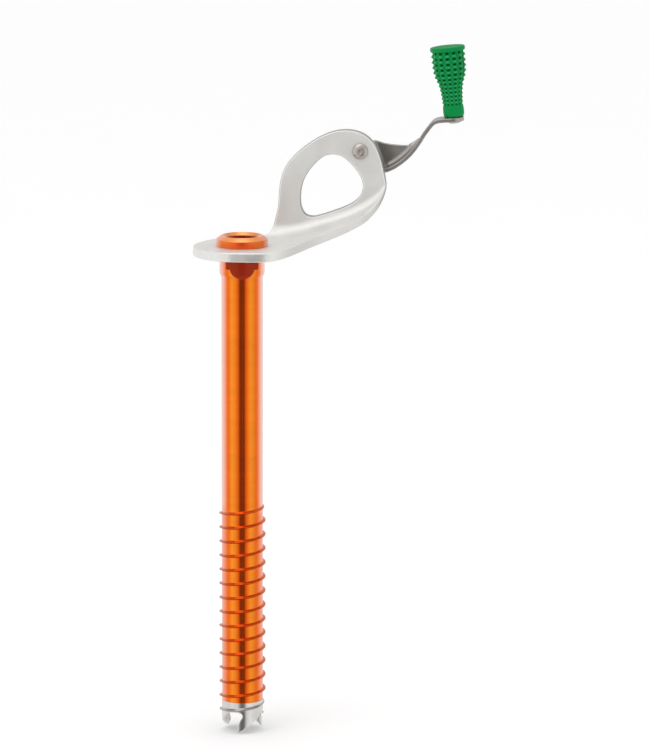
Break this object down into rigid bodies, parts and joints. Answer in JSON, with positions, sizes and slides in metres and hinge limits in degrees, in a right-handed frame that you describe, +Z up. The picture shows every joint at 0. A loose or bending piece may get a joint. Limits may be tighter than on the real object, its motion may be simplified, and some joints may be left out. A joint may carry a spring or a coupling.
{
  "type": "ice screw",
  "caption": "Tubular ice screw: threaded anodised tube with a toothed steel tip, a formed hanger with a carabiner eye, and a folding crank with a free-spinning studded knob.",
  "frame": {"origin": "on the tube axis, in the plane of the hanger's underside, the face that stops on the ice", "axes": "+Z up the tube towards the head, +X towards the carabiner eye and the crank, -Y the side the pivot rivet's head is on"},
  "size_m": [0.1141, 0.0672, 0.2975],
  "materials": {
    "anodised_orange": "orange anodised, fine turned",
    "tip_steel": "satin ground",
    "hanger_aluminium": "fine blasted, clear anodised",
    "rivet_steel": "polished",
    "washer_plastic": "moulded",
    "washer_steel": "plain",
    "crank_steel": "satin brushed",
    "knob_green": "moulded, satin"
  },
  "bodies": {
    "screw": {"tube": "anodised_orange", "cutting_tip": "tip_steel", "hanger": "hanger_aluminium", "head_collar": "anodised_orange", "pivot_rivet": "rivet_steel", "crank_friction_washer": "washer_plastic", "crank_spring_washer": "washer_steel", "crank_backing_washer": "washer_steel"},
    "crank": {"crank_lever": "crank_steel", "knob_axle": "rivet_steel", "knob_thrust_washer": "washer_plastic"},
    "knob_body": {"knob": "knob_green", "knob_cap": "knob_green"}
  },
  "joints": [
    {"name": "crank_fold", "type": "hinge", "parent": "screw", "child": "crank", "pos_m": [0.0478, 0.0334, 0.0418], "axis": [0, -1, 0], "range_deg": [0, 168]},
    {"name": "knob_spin", "type": "hinge", "parent": "crank", "child": "knob_body", "pos_m": [0.0876, 0.03875, 0.05655], "axis": [-0.1045, 0, 0.9945], "continuous": true}
  ]
}
